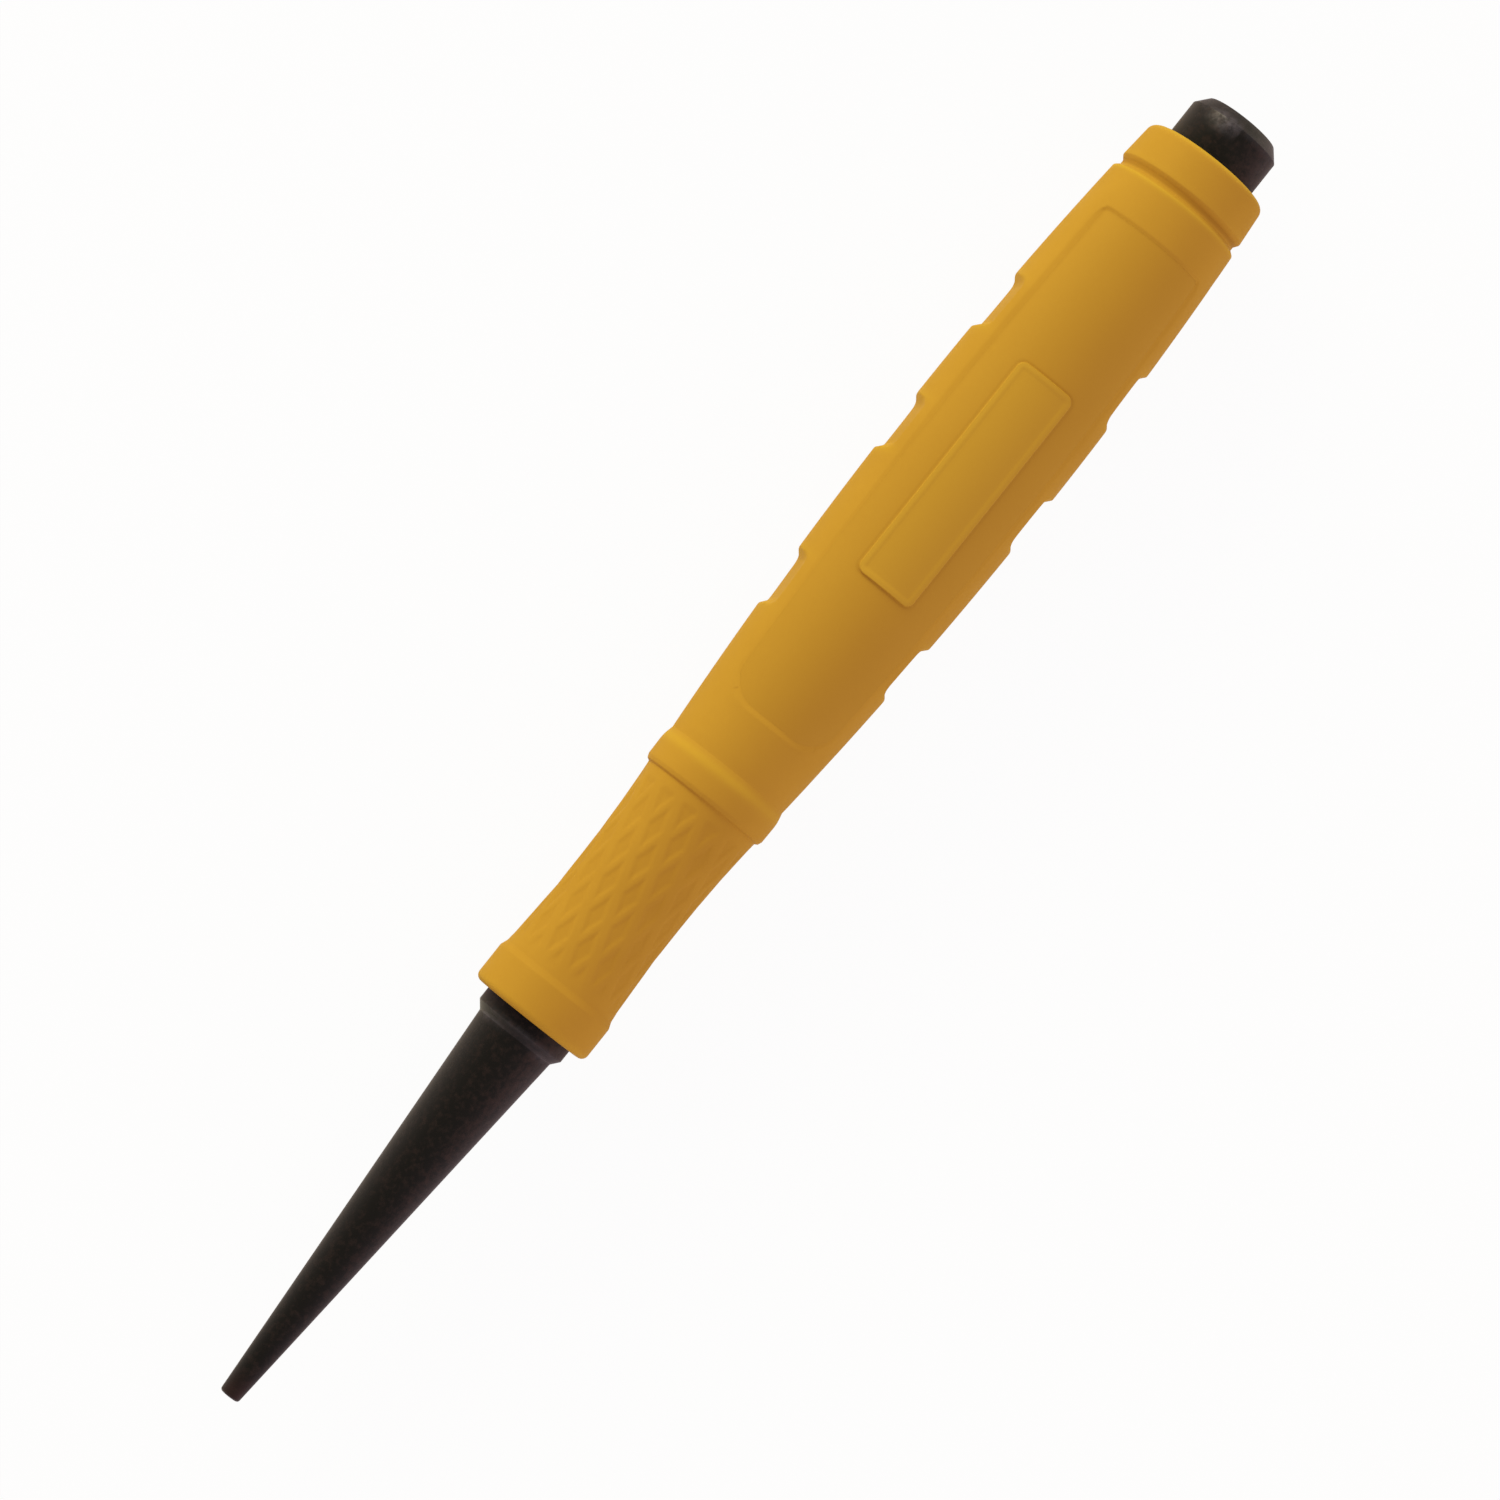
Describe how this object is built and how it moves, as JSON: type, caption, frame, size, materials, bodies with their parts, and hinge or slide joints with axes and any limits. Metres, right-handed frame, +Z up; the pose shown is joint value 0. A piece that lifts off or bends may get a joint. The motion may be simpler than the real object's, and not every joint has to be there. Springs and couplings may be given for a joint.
{
  "type": "nail set",
  "caption": "Steel nail set with a tapered cupped point and a chamfered striking head, in a moulded finger grip with a netted neck, flat finger recesses and a bare name plate.",
  "frame": {"origin": "middle of the bounding box's base: halfway between the point and the striking face, on the bench that the tool lies on, under its axis", "axes": "+X along the tool from the point to the striking face, +Y across it, +Z up from the bench, through the side of the grip with the curved name plate"},
  "size_m": [0.15, 0.016, 0.016],
  "materials": {
    "punch_steel": "black oxide, satin, darkened by oil",
    "core_plastic": "moulded, fine matte texture",
    "sleeve_rubber": "moulded soft rubber, satin"
  },
  "bodies": {
    "root": {"punch": "punch_steel", "grip_core": "core_plastic", "grip_sleeve": "sleeve_rubber"}
  },
  "joints": []
}
